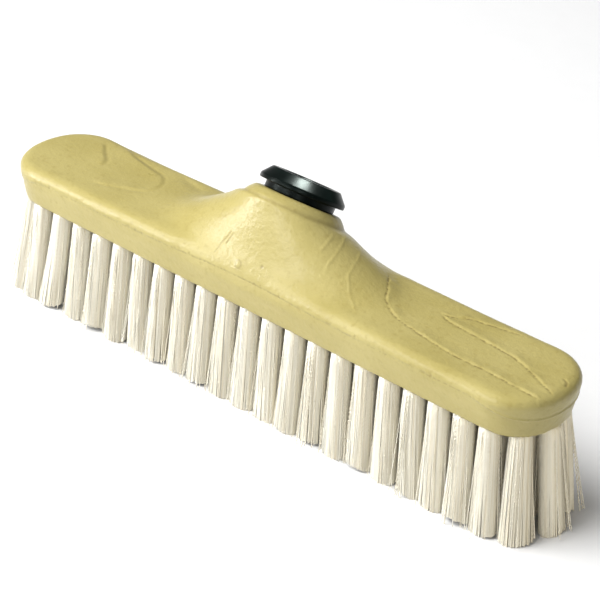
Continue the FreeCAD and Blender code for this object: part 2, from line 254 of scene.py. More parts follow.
# Bush
SHANK_RADIUS = 14 * MM
WAIST_RADIUS = 16 * MM
LIP_RADIUS = 19.5 * MM
NOSE_RADIUS = 15.6 * MM
WAIST_HEIGHT = 3.2 * MM
LIP_HEIGHT = 2 * MM
NOSE_HEIGHT = 4.5 * MM
BUSH_ROUND = 0.5 * MM
ROUND_LIMIT_SHARE = 0.45
ROUND_STEPS = 5
THREAD_PITCH = 4 * MM
THREAD_DEPTH = 0.9 * MM
THREAD_FLANK_SHARES = (0.35, 0.75)
THREAD_STEPS = 10
TURN_STEPS = 96

# Filaments
FILAMENT_RADIUS = 0.19 * MM
FILAMENT_SIDES = 3
FILAMENT_LEVELS = 7
LEVEL_POWER = 2.8
HULL_SHARE = 0.8

# Tufts, each a ring and a core of close filaments that flare from the mouth of their hole
RING_FILAMENTS = 170
RING_REACH_SHARE = 0.96
RING_SCATTER_SHARE = 0.03
CORE_FILAMENTS = 90
CORE_REACH_SHARE = 0.88
TURN_SCATTER = 0.025
MOUTH_RADIUS = 2.9 * MM
OPEN_RADIUS = 4.8 * MM
OPEN_SHARE = 0.004
TIP_RADIUS = 6.4 * MM
END_TIP_RADIUS = 7.2 * MM
TIP_FLATNESS_SHARE = 0.4
TIP_CLEARANCE = 0.1 * MM
TIP_SLANT = 1.2 * MM
TIP_SCATTER = 0.5 * MM
TUFT_SCATTER = 0.7 * MM
TUFT_SWAY = 0.6 * MM
BEND = 0.25 * MM

# Crimped filaments that stand away from the tufts
STRAY_FILAMENTS = 14
STRAY_REACH_SHARE = 0.97
STRAY_LEAN = 2.2 * MM
STRAY_LEAN_POWER = 1.5
STRAY_SCATTER = 1.5 * MM
CRIMP_DEPTH = 0.28 * MM
CRIMP_PITCH = 2 * MM
CRIMP_LEVELS = 46
CRIMP_START_SHARE = 0.125

# Colour sockets of Blender's mix node, and the length after which its wave texture repeats at scale one
MIX_COLOUR_INPUTS = (6, 7)
MIX_COLOUR_OUTPUT = 2
WAVE_TEXTURE_LENGTH = 0.314

# Finish of the block: colours in linear light, noises as scale and detail, spreads as ranges of a noise
NOISE_SPREAD = (0.3, 0.7)
STRAW_DARK = (0.405, 0.337, 0.106)
STRAW_LIGHT = (0.485, 0.413, 0.154)
STRAW_PATCHES = (28, 3)
STRAW_ROUGHNESS = (0.27, 0.39)
STREAK_COLOUR = (0.53, 0.455, 0.19)
STREAK_NOISE = (300, 3)
STREAK_SPREAD = (0.5, 0.75)
STREAK_SHARE = 0.2
STREAK_SHAPE = (0.15, 1, 1)
SPECK_COLOUR = (0.34, 0.265, 0.07)
SPECK_NOISE = (420, 2)
SPECK_SPREAD = (0.55, 0.8)
SPECK_SHARE = 0.5
# Dark colour of the grooves, seam, crease, pit and the blister's ring: partly dirt, partly painted shade
DIRT_AND_SHADE_COLOUR = (0.18, 0.13, 0.04)
SKIN_NOISE = (520, 5)
SKIN_SHARE = 0.5
SKIN_DEPTH = 0.5 * MM

# Finish of the bush
BUSH_DARK = (0.0003, 0.0009, 0.0007)
BUSH_LIGHT = (0.0007, 0.002, 0.0016)
BUSH_ROUGHNESS = (0.27, 0.35)
BUSH_SPECULAR_SHARE = 0.11
BUSH_SPECULAR_TINT = (0.84, 1, 0.93, 1)
SCUFF_NOISE = (160, 4)
SCUFF_SPREAD = (0.35, 0.75)
BUSH_GRAIN_NOISE = (700, 2)
BUSH_GRAIN_SHARE = 0.08
BUSH_GRAIN_DEPTH = 0.3 * MM

# Finish of the bristles
IVORY_LIGHT = (0.6, 0.583, 0.51)
IVORY_DARK = (0.56, 0.51, 0.395)
IVORY_ROUGHNESS = 0.4
IVORY_CRIMP_SHARE = 0.4
IVORY_PHASES = 60

# Finish of the anchors and of the floor
STEEL_DARK = (0.42, 0.42, 0.41)
STEEL_LIGHT = (0.6, 0.6, 0.59)
STEEL_NOISE = (800, 2)
STEEL_ROUGHNESS = (0.3, 0.5)
FLOOR_DARK = (0.9, 0.9, 0.9)
FLOOR_LIGHT = (0.93, 0.93, 0.93)
FLOOR_NOISE = (60, 4)
FLOOR_ROUGHNESS = 0.9
FLOOR_HALF_SIDE = 6

# Lights: name, azimuth and elevation in degrees, distance and size in metres, watts, colour, hidden from
WHITE = (1, 1, 1)
NOTHING = ()
HIGHLIGHTS = ("visible_glossy",)
ALL_BUT_HIGHLIGHTS = ("visible_diffuse",)
ROOM_LIGHTS = (
    ("window", -46, 9, 1.4, 0.2, 3.2, WHITE, NOTHING),
    ("sky", -40, 60, 1.6, 1.4, 34, WHITE, HIGHLIGHTS),
    ("low_glint", -55, 2, 1.4, 0.16, 3.2, WHITE, ALL_BUT_HIGHLIGHTS),
    ("mid_glint", -53, 17, 1.4, 0.16, 2.2, WHITE, ALL_BUT_HIGHLIGHTS),
    ("high_glint", -55, 34, 1.4, 0.16, 3, WHITE, ALL_BUT_HIGHLIGHTS),
    ("right_glint", -9, 19, 1.4, 0.16, 2.5, WHITE, ALL_BUT_HIGHLIGHTS),
    ("front", -24, 24, 1.5, 0.7, 3.4, WHITE, NOTHING))
BUSH_LIGHTS = (
    ("bush_lamp", 34, 27, 1.5, 0.25, 3, WHITE, NOTHING),
    ("bush_ceiling", 175, 68, 1.4, 0.45, 80, WHITE, NOTHING))
BRISTLE_LIGHTS = (
    ("bristle_edge", -56, 10, 1.4, 0.3, 12, (0.9, 0.96, 1), NOTHING),
    ("bristle_fill", 43, 24, 1.5, 0.7, 10, (1, 0.92, 0.75), NOTHING),
    ("bristle_side", 105, 14, 1.5, 0.7, 4.5, (1, 0.86, 0.6), NOTHING),
    ("bristle_back", 190, 18, 1.5, 0.7, 7, WHITE, NOTHING))
ROOM_BRIGHTEST = (-25, 10)
ROOM_STRENGTHS = (0.05, 0.5)


# Meshes

def link(name, mesh, material):
    """Puts a mesh into the scene as a smooth object with one material."""
    mesh.materials.clear()
    mesh.materials.append(material)
    mesh.shade_smooth()
    piece = bpy.data.objects.new(name, mesh)
    bpy.context.scene.collection.objects.link(piece)
    return piece


def dress(piece, slot, *nodes):
    """Lets a piece stand for CAD nodes. The slot is not used."""
    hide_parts(*nodes)
    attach(piece, ROOT)


def mesh_from(name, points, faces):
    mesh = bpy.data.meshes.new(name)
    mesh.from_pydata([tuple(point) for point in points], [], [tuple(face) for face in faces])
    mesh.validate()
    return mesh


def points_of(mesh):
    flat = np.empty(len(mesh.vertices) * 3)
    mesh.vertices.foreach_get("co", flat)
    return flat.reshape(-1, 3)


def normals_of(mesh):
    flat = np.empty(len(mesh.vertices) * 3)
    mesh.vertex_normals.foreach_get("vector", flat)
    return flat.reshape(-1, 3)


def move_points(mesh, points):
    mesh.vertices.foreach_set("co", points.ravel())
    mesh.update()


def welded(mesh):
    """A bmesh of a CAD node with its split corners joined."""
    whole = bmesh.new()
    whole.from_mesh(mesh)
    bmesh.ops.remove_doubles(whole, verts=whole.verts, dist=WELD_DISTANCE)
    return whole


def tree_of(places):
    """A search tree of places, each under its own index."""
    tree = kdtree.KDTree(len(places))
    for index, place in enumerate(places):
        tree.insert(place, index)
    tree.balance()
    return tree


def bump(distance, width):
    """A smooth bell of height one."""
    return np.exp(-0.5 * (distance / width) ** 2)


def ramp(value, low, high):
    """Smooth step from zero at low to one at high."""
    share = np.clip((value - low) / (high - low), 0, 1)
    return share * share * (3 - 2 * share)


def span(shares, size):
    """The ends of a range that is given as shares of a size."""
    return [share * size for share in shares]


def waves(points, wavelength, seed):
    """Soft noise between about minus one and one at each point."""
    shift = Vector((seed, 2 * seed, 3 * seed))
    return np.array([noise.noise(Vector(point) / wavelength + shift) for point in points])


def uneven(points, settings, seed):
    """Noise about a middle value, kept within limits."""
    middle, swing, wavelength, least, greatest = settings
    return np.clip(middle + swing * waves(points, wavelength, seed), least, greatest)


# Materials

def new_material(name):
    material = bpy.data.materials.new(name)
    material.use_nodes = True
    tree = material.node_tree
    return material, tree, tree.nodes["Principled BSDF"]


def add_node(tree, kind, values, links):
    """Adds a node, sets its properties or sockets by name, and links its sockets from others."""
    node = tree.nodes.new(kind)
    for key, value in values.items():
        if isinstance(key, int) or key in node.inputs:
            node.inputs[key].default_value = value
        else:
            setattr(node, key, value)
    for key, source in links.items():
        tree.links.new(source, node.inputs[key])
    return node


def texture_place(tree):
    node = tree.nodes.get("Texture Coordinate") or tree.nodes.new("ShaderNodeTexCoord")
    return node.outputs["Object"]


def noise_at(tree, place, scale, detail):
    node = add_node(tree, "ShaderNodeTexNoise", {"Scale": scale, "Detail": detail}, {"Vector": place})
    return node.outputs["Fac"]


def noise_of(tree, settings):
    return noise_at(tree, texture_place(tree), *settings)


def streaks_of(tree, settings):
    """Noise drawn out along the block."""
    drawn = add_node(tree, "ShaderNodeMapping", {"Scale": STREAK_SHAPE}, {"Vector": texture_place(tree)})
    return noise_at(tree, drawn.outputs[0], *settings)


def attribute_of(tree, name):
    return add_node(tree, "ShaderNodeAttribute", {"attribute_name": name}, {}).outputs["Fac"]


def mix_colours(tree, first, second, factor):
    """Blends two colours, each a colour or an output, by an output."""
    blend = tree.nodes.new("ShaderNodeMix")
    blend.data_type = "RGBA"
    for index, colour in zip(MIX_COLOUR_INPUTS, (first, second)):
        socket = blend.inputs[index]
        if isinstance(colour, tuple):
            socket.default_value = (*colour, 1)
        else:
            tree.links.new(colour, socket)
    tree.links.new(factor, blend.inputs[0])
    return blend.outputs[MIX_COLOUR_OUTPUT]


def map_range(tree, source, spread, target):
    """Maps an output from one range to another."""
    node = add_node(tree, "ShaderNodeMapRange", {
        "From Min": spread[0], "From Max": spread[1], "To Min": target[0], "To Max": target[1]},
        {"Value": source})
    return node.outputs["Result"]


def bumped(tree, shader, height, strength, distance):
    settings = {"Strength": strength, "Distance": distance}
    node = add_node(tree, "ShaderNodeBump", settings, {"Height": height})
    tree.links.new(node.outputs["Normal"], shader.inputs["Normal"])


def block_material():
    """Satin moulded plastic in straw yellow, with soft tones, dirt and painted shade in the grooves and a
    fine skin.
    """
    material, tree, shader = new_material("straw_plastic")
    patches = noise_of(tree, STRAW_PATCHES)
    specks = noise_of(tree, SPECK_NOISE)
    skin = noise_of(tree, SKIN_NOISE)
    streaks = streaks_of(tree, STREAK_NOISE)
    patched = map_range(tree, patches, NOISE_SPREAD, (0, 1))
    streaked = map_range(tree, streaks, STREAK_SPREAD, (0, STREAK_SHARE))
    specked = map_range(tree, specks, SPECK_SPREAD, (0, SPECK_SHARE))
    tone = mix_colours(tree, STRAW_DARK, STRAW_LIGHT, patched)
    tone = mix_colours(tree, tone, STREAK_COLOUR, streaked)
    tone = mix_colours(tree, tone, SPECK_COLOUR, specked)
    # The marks' dirt and painted shade darken the tone in grooves, creases, pits and round the blister.
    tone = mix_colours(tree, tone, DIRT_AND_SHADE_COLOUR, attribute_of(tree, "dirt_and_shade"))
    tree.links.new(tone, shader.inputs["Base Color"])
    tree.links.new(map_range(tree, patches, NOISE_SPREAD, STRAW_ROUGHNESS), shader.inputs["Roughness"])
    bumped(tree, shader, skin, SKIN_SHARE, SKIN_DEPTH)
    return material


def bush_material():
    """Glossy black plastic with a slight green tint and faint scuffs."""
    material, tree, shader = new_material("black_plastic")
    scuffs = noise_of(tree, SCUFF_NOISE)
    tone = mix_colours(tree, BUSH_DARK, BUSH_LIGHT, map_range(tree, scuffs, SCUFF_SPREAD, (0, 1)))
    tree.links.new(tone, shader.inputs["Base Color"])
    tree.links.new(map_range(tree, scuffs, NOISE_SPREAD, BUSH_ROUGHNESS), shader.inputs["Roughness"])
    shader.inputs["Specular IOR Level"].default_value = BUSH_SPECULAR_SHARE
    shader.inputs["Specular Tint"].default_value = BUSH_SPECULAR_TINT
    bumped(tree, shader, noise_of(tree, BUSH_GRAIN_NOISE), BUSH_GRAIN_SHARE, BUSH_GRAIN_DEPTH)
    return material


def bristle_material():
    """Ivory nylon filament, a little different from one to the next, with a fine crimp along it."""
    material, tree, shader = new_material("ivory_nylon")
    tint = attribute_of(tree, "tint")
    tone = mix_colours(tree, IVORY_LIGHT, IVORY_DARK, tint)
    tree.links.new(tone, shader.inputs["Base Color"])
    shader.inputs["Roughness"].default_value = IVORY_ROUGHNESS
    crimp = add_node(tree, "ShaderNodeTexWave", {
        "bands_direction": "Z", "Scale": WAVE_TEXTURE_LENGTH / CRIMP_PITCH}, {
        "Vector": texture_place(tree), "Phase Offset": map_range(tree, tint, (0, 1), (0, IVORY_PHASES))})
    bumped(tree, shader, crimp.outputs["Fac"], IVORY_CRIMP_SHARE, CRIMP_DEPTH)
    return material


def wire_material():
    """Drawn steel wire."""
    material, tree, shader = new_material("drawn_steel")
    streaks = noise_of(tree, STEEL_NOISE)
    tree.links.new(mix_colours(tree, STEEL_DARK, STEEL_LIGHT, streaks), shader.inputs["Base Color"])
    shader.inputs["Metallic"].default_value = 1
    tree.links.new(map_range(tree, streaks, NOISE_SPREAD, STEEL_ROUGHNESS), shader.inputs["Roughness"])
    return material


def floor_material():
    """Plain pale paper."""
    material, tree, shader = new_material("pale_floor")
    tone = mix_colours(tree, FLOOR_DARK, FLOOR_LIGHT, noise_of(tree, FLOOR_NOISE))
    tree.links.new(tone, shader.inputs["Base Color"])
    shader.inputs["Roughness"].default_value = FLOOR_ROUGHNESS
    return material


# Block

def remeshed(node):
    """An even, fine mesh of a CAD node's shape."""
    whole = welded(frame["nodes"][node].data)
    mesh = bpy.data.meshes.new("block_start")
    whole.to_mesh(mesh)
    whole.free()
    start = bpy.data.objects.new("block_start", mesh)
    bpy.context.scene.collection.objects.link(start)
    even = start.modifiers.new("even", "REMESH")
    even.mode = "VOXEL"
    even.voxel_size = VOXEL
    snug = start.modifiers.new("snug", "SHRINKWRAP")
    snug.target = frame["nodes"][node]
    fine = bpy.data.meshes.new_from_object(start.evaluated_get(bpy.context.evaluated_depsgraph_get()))
    bpy.data.objects.remove(start)
    return fine


def smoothed(mesh, weights, rounds):
    """Moves each point part of the way to the middle of its neighbours, again and again."""
    points = points_of(mesh)
    ends = np.empty(len(mesh.edges) * 2, int)
    mesh.edges.foreach_get("vertices", ends)
    first, second = ends.reshape(-1, 2).T
    count = np.bincount(ends, minlength=len(points))
    for _ in range(rounds):
        middle = np.empty_like(points)
        for axis in range(3):
            middle[:, axis] = np.bincount(first, points[second, axis], len(points))
            middle[:, axis] += np.bincount(second, points[first, axis], len(points))
        points = points + weights[:, None] * (middle / count[:, None] - points) / 2
    return points


def straightened(points, weights):
    """Evens out points along the block: each moves across it to the middle of those before and after it."""
    points = points.copy()
    picked = np.flatnonzero(weights)
    for _ in range(RIM_ROUNDS):
        pressed = points[picked] / (RIM_STRETCH, 1, 1)
        tree = tree_of(pressed)
        near = [[found[1] for found in tree.find_range(place, RIM_REACH)] for place in pressed]
        middles = np.array([pressed[indices].mean(0) for indices in near])
        points[picked, 1:] += weights[picked, None] * (middles - pressed)[:, 1:]
    return points


def curve_through(corners, spacing):
    """Closely spaced points of a smooth curve through corners."""
    corners = np.array(corners, float)
    corners = np.vstack([2 * corners[0] - corners[1], corners, 2 * corners[-1] - corners[-2]])
    pieces = []
    for before, start, end, after in zip(corners, corners[1:], corners[2:], corners[3:]):
        steps = max(2, round(np.linalg.norm(end - start) / spacing))
        share = np.linspace(0, 1, steps, endpoint=False)[:, None]
        cubic = 1.5 * start - before / 2 - 1.5 * end + after / 2
        square = before - 2.5 * start + 2 * end - after / 2
        pieces.append(start + share * ((end - before) / 2 + share * (square + share * cubic)))
    return np.vstack(pieces)


def line_distance(points, asked, lines, axes):
    """Distance of the asked points from the nearest of some lines, seen along the third axis; the same with
    its sign, positive on the left of the line; and the distance to that line's nearer end."""
    curves = [curve_through(line, LINE_SPACING_MM) * MM for line in lines]
    places = np.vstack(curves)
    headings = np.vstack([np.gradient(curve, axis=0) for curve in curves])
    counts = [np.arange(len(curve)) for curve in curves]
    to_end = np.concatenate([np.minimum(count, count[::-1]) for count in counts])
    tree = tree_of([(*place, 0) for place in places])
    flat = points[:, axes] - np.array((0, UNDERSIDE if axes == FROM_FRONT else 0))
    chosen = np.flatnonzero(asked)
    found = [tree.find((*flat[index], 0))[1] for index in chosen]
    away = flat[chosen] - places[found]
    turn = headings[found, 0] * away[:, 1] - headings[found, 1] * away[:, 0]
    distance, offset, remaining = np.full((3, len(points)), np.inf)
    distance[chosen] = np.linalg.norm(away, axis=1)
    offset[chosen] = distance[chosen] * np.sign(turn)
    remaining[chosen] = to_end[found] * LINE_SPACING_MM * MM
    return distance, offset, remaining


def rim_distance(points):
    """Distance inwards from the block's outline in plan."""
    outer = np.abs(points[:, :2]) - (BLOCK_HALF_LENGTH - CORNER_RADIUS, BLOCK_HALF_WIDTH - CORNER_RADIUS)
    return CORNER_RADIUS - np.linalg.norm(np.maximum(outer, 0), axis=1) - np.minimum(outer.max(1), 0)


class Spots:
    """Where points of the block lie: height, place along and off the neck's axis, inset from the rim."""

    def __init__(self, mesh):
        self.points = points_of(mesh)
        self.normals = normals_of(mesh)
        self.along = np.abs(self.points[:, 0])
        self.height = self.points[:, 2] - UNDERSIDE
        from_foot = self.points - BUSH_FOOT
        self.up_axis = from_foot @ BORE_AXIS - SEAT_DEPTH
        self.off_axis = np.linalg.norm(np.cross(from_foot, BORE_AXIS), axis=1)
        self.inset = rim_distance(self.points)
        self.parting = (self.height - BAND_HEIGHT - PARTING_RISE * bump(self.along, PARTING_RISE_LENGTH)
                        + PARTING_FALL * ramp(self.along, PARTING_FALL_START, BLOCK_HALF_LENGTH))
        self.off_bush = self.off_axis > WAIST_RADIUS
        above_band = self.height > BAND_HEIGHT
        self.from_above = above_band & (self.normals[:, 2] > UPWARD_SHARE) & self.off_bush
        self.from_front = (above_band & (self.normals[:, 1] < -FORWARD_SHARE)
                           & (self.along < FRONT_HALF_SHARE * COLLAR_RADIUS))
        self.on_side = (self.inset < SIDE_INSET) & (np.abs(self.parting) < SIDE_REACH)
        self.on_crease = (np.abs(self.up_axis + COLLAR_HEIGHT) < CREASE_REACH) & self.off_bush & (
            self.off_axis < CREASE_RADIUS_SHARE * COLLAR_RADIUS)

    def line_above(self, lines):
        return line_distance(self.points, self.from_above, lines, FROM_ABOVE)

    def line_in_front(self, lines):
        return line_distance(self.points, self.from_front, lines, FROM_FRONT)

    def front_distance(self, place):
        """Distance from a place on the neck's front, seen from the front."""
        flat = np.hypot(self.points[:, 0] - place[0] * MM, self.height - place[1] * MM)
        return np.where(self.from_front, flat, np.inf)

    def mark_distance(self):
        above = LEFT_WING_LINES + LEFT_VALLEY + RIGHT_WING_LINES + END_FLECKS + FLANK_LINES
        return np.minimum.reduce([
            self.line_above(above)[0], self.line_in_front(FRONT_LINES)[0],
            self.front_distance(BLISTER) - BLISTER_RADIUS, self.front_distance(PIT)])


def softness(spots):
    """How much each point of the block is smoothed: most where the neck flows into the wings."""
    neck = ramp(spots.height, *span(NECK_HEIGHT_SHARES, BAND_HEIGHT)) * (1 - ramp(spots.along, *NECK_ENDS))
    collar = ramp(spots.up_axis, *span(COLLAR_FOOT_SHARES, COLLAR_HEIGHT)) * (
        1 - ramp(spots.off_axis, *span(COLLAR_SIDE_SHARES, COLLAR_RADIUS)))
    socket = (1 - ramp(spots.off_axis, *span(SOCKET_SIDE_SHARES, WAIST_RADIUS))) * ramp(
        spots.up_axis, *span(SOCKET_FOOT_SHARES, SEAT_DEPTH))
    rim = (1 - ramp(spots.inset, *KEPT_RIM_INSETS)) * (1 - bump(spots.along, KEPT_RIM_GAP))
    kept = np.maximum.reduce([collar, socket, rim])
    return LEAST_SMOOTH_SHARE + (1 - LEAST_SMOOTH_SHARE) * neck * (1 - kept)


def rim_weights(spots):
    """How much each point is straightened: only along the wings' rim, and not round the ends."""
    weights = ramp(spots.height, *span(RIM_HEIGHT_SHARES, BAND_HEIGHT))
    weights *= (1 - ramp(spots.inset, *RIM_INSETS)) * ramp(spots.along, *RIM_STARTS)
    return weights * (1 - ramp(spots.along, STRAIGHT_HALF - CORNER_RADIUS, STRAIGHT_HALF))


def refine(mesh):
    """Splits the faces near the marks, the parting line and the collar's crease into smaller ones."""
    spots = Spots(mesh)
    on_seam = spots.on_side & (np.abs(spots.parting) < FINE_SEAM_REACH)
    chosen = (spots.mark_distance() < FINE_MARK_REACH) | spots.on_crease | on_seam
    whole = bmesh.new()
    whole.from_mesh(mesh)
    whole.verts.ensure_lookup_table()
    faces = [face for face in whole.faces if any(chosen[corner.index] for corner in face.verts)]
    edges = {edge for face in faces for edge in face.edges}
    bmesh.ops.subdivide_edges(whole, edges=list(edges), cuts=FINE_CUTS, use_grid_fill=True)
    whole.to_mesh(mesh)
    whole.free()
    fresh = np.zeros(len(mesh.vertices))
    fresh[len(chosen):] = 1
    move_points(mesh, smoothed(mesh, fresh, FINE_ROUNDS))


def step(offset, distance, height, width, reach):
    """The edge of a slightly higher patch on the left of a line, falling off to a groove at its foot."""
    rise = ramp(offset, -width, width) * (1 - ramp(distance, width, reach))
    groove = bump(offset + GROOVE_PLACE_SHARE * width, GROOVE_WIDTH_SHARE * width)
    return height * (rise - GROOVE_DEPTH_SHARE * groove)


class Relief:
    """Height of the block's surface marks, and how much dirt and painted shade lies in them."""

    def __init__(self, spots):
        self.spots = spots
        self.points = spots.points
        self.crumbs = uneven(self.points, CRUMBS, CRUMB_SEED)
        self.dots = uneven(self.points, DOTS, DOT_SEED)
        self.slow = uneven(self.points, SLOW, SLOW_SEED)
        self.wander = WANDER * waves(self.points, WANDER_LENGTH, WANDER_SEED)
        self.height = np.zeros(len(self.points))
        self.dirt_and_shade = np.zeros(len(self.points))

    def mark_wings(self):
        left, left_side, left_end = self.spots.line_above(LEFT_WING_LINES)
        left_fade = self.slow * ramp(left_end, 0, LEFT_FADE)
        self.height += left_fade * step(-left_side, left, LEFT_HEIGHT, LEFT_WIDTH, LEFT_REACH)
        # Dirt and painted shade along the line.
        self.dirt_and_shade += LEFT_DIRT_AND_SHADE_SHARE * left_fade * bump(left, LEFT_DIRT_AND_SHADE_WIDTH)

        valley, _, valley_end = self.spots.line_above(LEFT_VALLEY)
        self.height -= VALLEY_DEPTH * ramp(valley_end, 0, VALLEY_FADE) * bump(valley, VALLEY_WIDTH)

        right, right_side, right_end = self.spots.line_above(RIGHT_WING_LINES)
        right_side = right_side + self.wander
        right_fade = ramp(right_end, 0, RIGHT_FADE)
        self.height += self.crumbs * right_fade * step(
            right_side, right, RIGHT_HEIGHT, RIGHT_WIDTH, RIGHT_REACH)
        # Dirt and painted shade dotted along the groove at the step's foot.
        self.dirt_and_shade += RIGHT_DIRT_AND_SHADE_SHARE * self.dots * right_fade * bump(
            right_side + RIGHT_DIRT_AND_SHADE_PLACE, RIGHT_DIRT_AND_SHADE_WIDTH)

        fleck = self.spots.line_above(END_FLECKS)[0] + self.wander
        self.height -= FLECK_DEPTH * bump(fleck, FLECK_WIDTH)
        # Dirt and painted shade in the fleck.
        self.dirt_and_shade += FLECK_DIRT_AND_SHADE_SHARE * bump(fleck, FLECK_DIRT_AND_SHADE_WIDTH)

    def mark_neck(self):
        flank, _, flank_end = self.spots.line_above(FLANK_LINES)
        self.height += FLANK_HEIGHT * self.slow * ramp(flank_end, 0, FLANK_FADE) * bump(flank, FLANK_WIDTH)

        scratch = self.spots.line_in_front(FRONT_LINES)[0]
        self.height -= SCRATCH_DEPTH * self.slow * bump(scratch, SCRATCH_WIDTH)
        # Dirt and painted shade in the scratches.
        self.dirt_and_shade += SCRATCH_DIRT_AND_SHADE_SHARE * self.slow * bump(scratch, SCRATCH_DIRT_AND_SHADE_WIDTH)

        blister = self.spots.front_distance(BLISTER) + self.wander
        self.height += BLISTER_HEIGHT * bump(blister, BLISTER_RADIUS)
        # A dark ring painted round the blister's foot as its shade.
        self.dirt_and_shade += BLISTER_SHADE_SHARE * bump(blister - BLISTER_RADIUS, BLISTER_SHADE_WIDTH)

        pit = self.spots.front_distance(PIT)
        self.height -= PIT_DEPTH * bump(pit, PIT_RADIUS)
        # Dirt and painted shade in the pit.
        self.dirt_and_shade += PIT_DIRT_AND_SHADE_SHARE * bump(pit, PIT_RADIUS)

    def mark_seam(self):
        """Marks the parting line, with dirt and painted shade in its groove and chips. The flash at the
        right end is clean, so it takes the dirt and painted shade off.
        """
        parting = self.spots.parting
        side = self.spots.on_side * ramp(-self.spots.inset, -SIDE_INSET, -SIDE_FULL_INSET)
        chips = side * ramp(waves(self.points, CHIP_LENGTH, CHIP_SEED), *CHIP_LIMITS) * bump(
            parting - CHIP_PLACE, CHIP_WIDTH)
        self.height -= CHIP_DEPTH * chips
        # Dirt and painted shade in the chips.
        self.dirt_and_shade += CHIP_DIRT_AND_SHADE_SHARE * chips

        seam = bump(parting, SEAM_WIDTH)
        lip = SEAM_STEP * np.tanh(parting / SEAM_STEP_WIDTH)
        self.height += side * (lip - SEAM_DEPTH * self.crumbs * self.slow * seam)
        # Dirt and painted shade in the seam's groove.
        self.dirt_and_shade += SEAM_DIRT_AND_SHADE_SHARE * side * self.slow * self.dots * seam

        flash = side * ramp(self.points[:, 0], *FLASH_STARTS)
        ridge = FLASH_HEIGHT * bump(parting, FLASH_WIDTH)
        groove = FLASH_GROOVE_DEPTH * bump(parting - FLASH_GROOVE_PLACE, FLASH_GROOVE_WIDTH)
        self.height += flash * (ridge - groove)
        self.dirt_and_shade *= 1 - flash

    def mark_crease(self):
        crease = self.spots.on_crease * bump(self.spots.up_axis + COLLAR_HEIGHT, CREASE_WIDTH)
        self.height -= CREASE_DEPTH * crease
        # Dirt and painted shade in the collar's crease.
        self.dirt_and_shade += CREASE_DIRT_AND_SHADE_SHARE * crease

    def roughen_skin(self):
        spots = self.spots
        outside = ramp(spots.height, *span(OUTSIDE_HEIGHT_SHARES, BAND_HEIGHT)) * spots.off_bush
        broad = BROAD_DEPTH * waves(self.points, BROAD_LENGTH, BROAD_SEED)
        fine = FINE_DEPTH * waves(self.points, FINE_LENGTH, FINE_SEED)
        self.height += outside * (broad + fine)

        forward = ramp(-spots.normals[:, 1], *NECK_FACING_SHARES)
        neck = outside * forward * bump(spots.along, NECK_HALF_LENGTH)
        self.height += NECK_DEPTH * neck * waves(self.points, NECK_LENGTH, NECK_SEED)

        shoulder = outside * bump(spots.inset - SHOULDER_INSET, SHOULDER_WIDTH) * (self.points[:, 1] < 0)
        self.height += SHOULDER_DEPTH * shoulder * waves(self.points, SHOULDER_LENGTH, SHOULDER_SEED)


def moulded_block():
    mesh = remeshed("brush_block")
    move_points(mesh, smoothed(mesh, softness(Spots(mesh)), SMOOTH_ROUNDS))
    spots = Spots(mesh)
    move_points(mesh, straightened(spots.points, rim_weights(spots)))
    refine(mesh)
    spots = Spots(mesh)
    relief = Relief(spots)
    relief.mark_wings()
    relief.mark_neck()
    relief.mark_seam()
    relief.mark_crease()
    relief.roughen_skin()
    move_points(mesh, spots.points + spots.normals * relief.height[:, None])
    # Dirt and painted shade of the marks, kept on the points for the material to darken with.
    dirt_and_shade = mesh.attributes.new("dirt_and_shade", "FLOAT", "POINT")
    dirt_and_shade.data.foreach_set("value", np.clip(relief.dirt_and_shade, 0, 1))
    dress(link("moulded_block", mesh, block_material()), "block", "brush_block")


# Bush

def rounded_profile(corners):
    """A line through corners, each turned into a short arc."""
    corners = np.array(corners)
    path = [corners[0]]
    for before, corner, after in zip(corners, corners[1:], corners[2:]):
        start, end = (
            corner + (other - corner) * min(BUSH_ROUND / np.linalg.norm(other - corner), ROUND_LIMIT_SHARE)
            for other in (before, after))
        for share in np.linspace(0, 1, ROUND_STEPS):
            path.append((1 - share) ** 2 * start + 2 * share * (1 - share) * corner + share ** 2 * end)
    return path + [corners[-1]]


